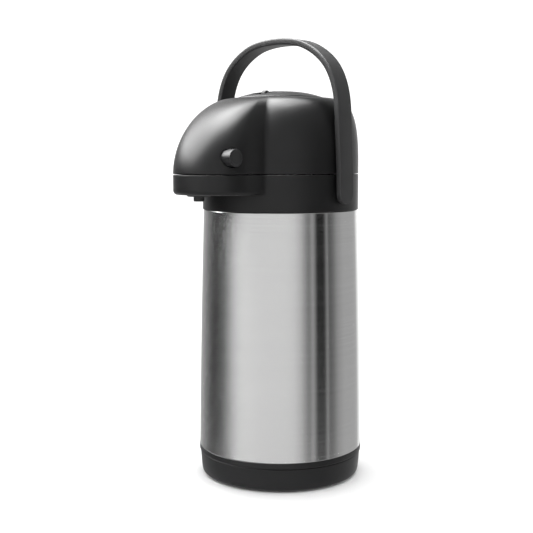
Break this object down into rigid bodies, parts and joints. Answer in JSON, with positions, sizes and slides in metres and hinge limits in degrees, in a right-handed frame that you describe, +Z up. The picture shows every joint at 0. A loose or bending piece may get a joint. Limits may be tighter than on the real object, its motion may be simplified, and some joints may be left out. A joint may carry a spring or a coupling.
{
  "type": "thermal coffee airpot",
  "caption": "Insulated pump pot: brushed steel double-wall bottle on a turning base, hinged nose-shaped lid with press-down bellows pump, spout and swinging bail.",
  "frame": {"origin": "middle of the foot ring, on the bottle's axis, at the surface it stands on", "axes": "+Z up along the bottle's axis, spout along -Y, lid hinge at +Y, bail pivots along X"},
  "size_m": [0.168, 0.2063, 0.4245],
  "materials": {
    "base_black": "moulded black plastic, fine satin texture",
    "head_black": "moulded black plastic, fine spark-eroded texture, satin",
    "bail_black": "moulded black plastic, satin",
    "button_black": "moulded black plastic, satin",
    "spout_black": "moulded black plastic, smooth",
    "inner_plastic": "natural white food-grade plastic",
    "acetal": "white acetal",
    "shell_steel": "stainless steel, brushed around the body",
    "liner_steel": "stainless steel, drawn, satin",
    "zinc_steel": "zinc-plated steel",
    "spring_steel": "stainless spring wire",
    "silicone": "translucent white silicone rubber",
    "bellows_rubber": "dark grey moulded elastomer",
    "foot_rubber": "black non-slip rubber"
  },
  "bodies": {
    "swivel_base": {"swivel_base": "base_black", "foot_ring": "foot_rubber", "slide_ring": "acetal"},
    "pot": {"base_ring": "base_black", "pivot_washer": "zinc_steel", "pivot_screw": "zinc_steel", "outer_shell": "shell_steel", "inner_liner": "liner_steel", "outer_bottom": "liner_steel", "getter": "liner_steel", "collar": "head_black", "collar_screws": "zinc_steel", "neck_ring": "inner_plastic", "mouth_gasket": "silicone", "siphon_head": "inner_plastic", "siphon_tube": "inner_plastic", "delivery_pipe": "inner_plastic", "spout_nozzle": "spout_black", "spout_flange": "spout_black", "hinge_pin": "zinc_steel"},
    "tip_valve": {"tip_valve_ball": "acetal"},
    "lid": {"lid_shell": "head_black", "lid_underplate": "head_black", "lid_gasket": "silicone", "lid_screws": "zinc_steel", "air_valve": "silicone", "latch_block": "inner_plastic", "bellows": "bellows_rubber", "return_spring": "spring_steel"},
    "pump": {"pump_button": "button_black", "vent_pad": "silicone"},
    "lock": {"lock_slider": "button_black"},
    "release": {"release_button": "button_black", "release_spring": "spring_steel"},
    "bail": {"bail_pins": "zinc_steel", "bail_handle": "bail_black"}
  },
  "joints": [
    {"name": "base_turn", "type": "hinge", "parent": "swivel_base", "child": "pot", "pos_m": [0, 0, 0.0232], "axis": [0, 0, 1], "continuous": true},
    {"name": "lid_open", "type": "hinge", "parent": "pot", "child": "lid", "pos_m": [0, 0.072, 0.296], "axis": [-1, 0, 0], "range_deg": [0, 40]},
    {"name": "bail_swing", "type": "hinge", "parent": "pot", "child": "bail", "pos_m": [0, 0, 0.2783], "axis": [-1, 0, 0], "range_deg": [0, 140]},
    {"name": "pump_press", "type": "slide", "parent": "lid", "child": "pump", "axis": [0, 0, -1], "range_m": [0, 0.028], "stiffness_N_per_m": 600, "springref_m": -0.012, "deforming": ["bellows", "return_spring"]},
    {"name": "lock_slide", "type": "slide", "parent": "pump", "child": "lock", "axis": [0, 1, 0], "range_m": [-0.0055, 0]},
    {"name": "release_press", "type": "slide", "parent": "lid", "child": "release", "axis": [-1, 0, 0], "range_m": [0, 0.003], "stiffness_N_per_m": 900, "springref_m": -0.002},
    {"name": "tip_valve_lift", "type": "slide", "parent": "pot", "child": "tip_valve", "axis": [0, 0, 1], "range_m": [0, 0.0035]}
  ],
  "couplings": [
    {"joint": "bail_swing", "follows": "lid_open", "ratio": 3.5}
  ]
}
